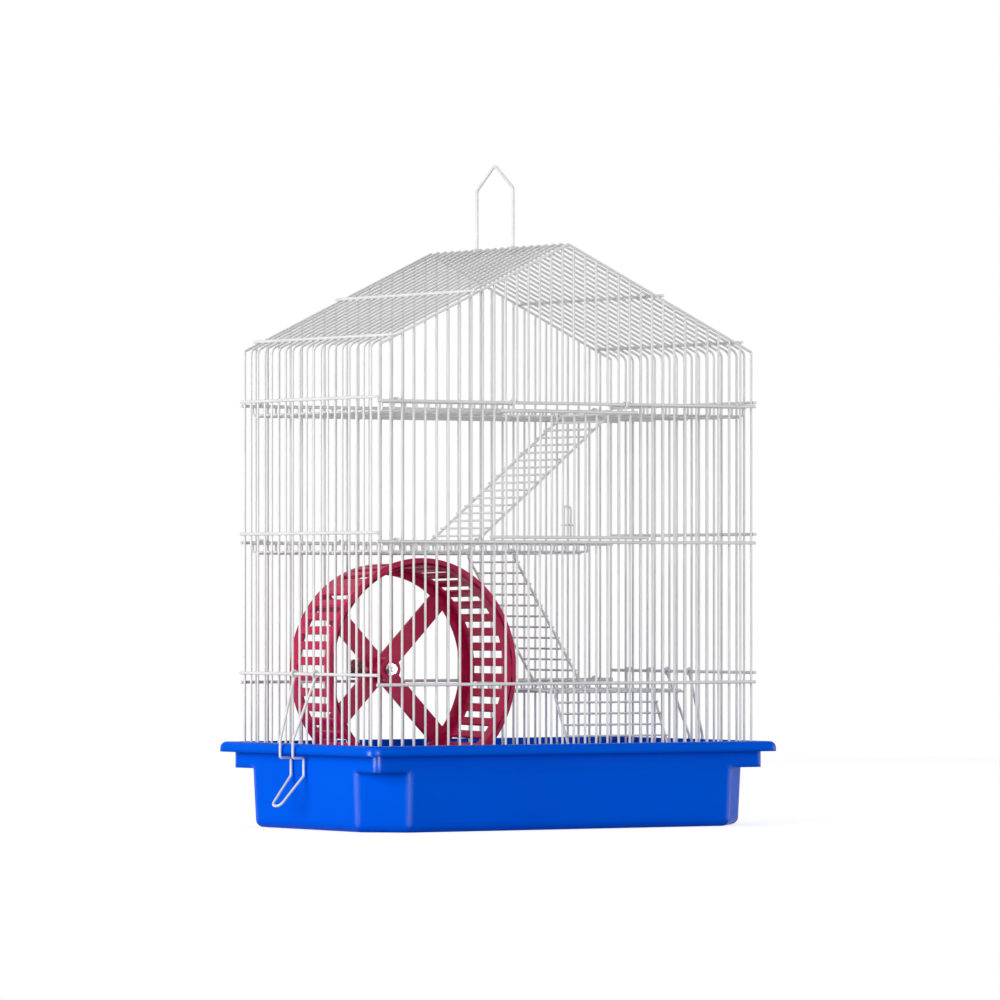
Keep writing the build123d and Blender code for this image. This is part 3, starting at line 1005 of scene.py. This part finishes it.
@dataclass
class Studio:
    """Pale floor, soft lamps and the camera of the photograph, in metres."""

    heading: float = 32.86
    distance: float = 5.383
    eye: float = 0.179
    focal_pixels: float = 7166.0
    horizon_pixel: float = 587.47
    middle_pixel: float = 498.48
    image_pixels: float = 1000.0
    sensor: float = 36.0
    view_end: float = 100.0
    floor_size: float = 3.2
    floor_grey: float = 0.6
    floor_rough: float = 0.9
    floor_glow: float = 0.75
    world_light: float = 0.22
    lamp_aim: Triple = (0, 0, 0.2)
    lamps: tuple[Lamp, ...] = (
        Lamp("key", (-3.6, -0.6, 1.1), (2.0, 2.0), 84.0),
        Lamp("fill", (2.0, -3.3, 0.7), (2.0, 2.0), 44.0),
        Lamp("top", (0.2, 0.6, 3.2), (2.0, 2.0), 14.0),
        Lamp("left strip", (-3.1, 0.65, 0.35), (0.1, 1.0), 24.0),
        Lamp("front strip", (-0.75, -3.5, 0.35), (0.1, 1.0), 18.0),
    )

    def camera(self) -> None:
        """Set the camera at the photograph's angle."""
        data = bpy.data.cameras.new("camera")
        data.sensor_width = self.sensor
        data.lens = self.focal_pixels / self.image_pixels * self.sensor
        data.shift_x = 0.5 - self.middle_pixel / self.image_pixels
        data.shift_y = self.horizon_pixel / self.image_pixels - 0.5
        data.clip_end = self.view_end
        camera = bpy.data.objects.new("camera", data)
        turn = math.radians(self.heading)
        camera.location = (-self.distance * math.sin(turn), -self.distance * math.cos(turn), self.eye)
        camera.rotation_euler = (math.pi / 2, 0, -turn)
        bpy.context.scene.collection.objects.link(camera)
        bpy.context.scene.camera = camera

    def seen(self, tree: bpy.types.NodeTree) -> bpy.types.NodeSocket:
        """Share of rays that show the plain background.

        Args:
            tree: Node tree of the floor or the world.

        Returns:
            1 for camera, glossy and transmission rays, otherwise 0.
        """
        path = tree.nodes.new("ShaderNodeLightPath")
        total = path.outputs["Is Camera Ray"]
        for name in ("Is Glossy Ray", "Is Transmission Ray"):
            either = tree.nodes.new("ShaderNodeMath")
            either.operation = "MAXIMUM"
            tree.links.new(total, either.inputs[0])
            tree.links.new(path.outputs[name], either.inputs[1])
            total = either.outputs[0]
        return total

    def world(self) -> None:
        """White background with a lower, even light on the cage."""
        world = bpy.data.worlds.new("studio")
        world.use_nodes = True
        bpy.context.scene.world = world
        tree = world.node_tree
        shown = tree.nodes["Background"]
        shown.inputs["Color"].default_value = (1, 1, 1, 1)
        strength = tree.nodes.new("ShaderNodeMapRange")
        strength.inputs["To Min"].default_value = self.world_light
        strength.inputs["To Max"].default_value = 1.0
        tree.links.new(self.seen(tree), strength.inputs["Value"])
        tree.links.new(strength.outputs["Result"], shown.inputs["Strength"])

    def floor(self) -> None:
        """Pale floor that keeps the shadow of the cage."""
        half = self.floor_size / 2
        mesh = bpy.data.meshes.new("floor")
        corners = [(-half, -half, 0), (half, -half, 0), (half, half, 0), (-half, half, 0)]
        mesh.from_pydata(corners, [], [(0, 1, 2, 3)])
        floor = bpy.data.objects.new("floor", mesh)
        bpy.context.scene.collection.objects.link(floor)
        material = bpy.data.materials.new("pale floor")
        material.use_nodes = True
        tree = material.node_tree
        surface = tree.nodes["Principled BSDF"]
        surface.inputs["Base Color"].default_value = (self.floor_grey,) * 3 + (1,)
        surface.inputs["Roughness"].default_value = self.floor_rough
        surface.inputs["Specular IOR Level"].default_value = 0.0
        surface.inputs["Emission Color"].default_value = (1, 1, 1, 1)
        glow = tree.nodes.new("ShaderNodeMapRange")
        glow.inputs["To Max"].default_value = self.floor_glow
        tree.links.new(self.seen(tree), glow.inputs["Value"])
        tree.links.new(glow.outputs["Result"], surface.inputs["Emission Strength"])
        mesh.materials.append(material)

    def build(self) -> None:
        """Set the camera, the lamps, the world and the floor."""
        self.camera()
        for lamp in self.lamps:
            lamp.build(self.lamp_aim)
        self.world()
        self.floor()
        bpy.context.scene.view_settings.view_transform = "Standard"


def main() -> None:
    """Build the finishes, the pieces and the studio in order."""
    logging.basicConfig(level=logging.INFO, format="%(name)s: %(message)s")
    finishes = Finishes().build()
    WireShell().build(finishes[Slot.WIRE.value])
    RunningWheel().build(finishes[Slot.WHEEL.value])
    Studio().build()


if __name__ == "__main__":
    main()
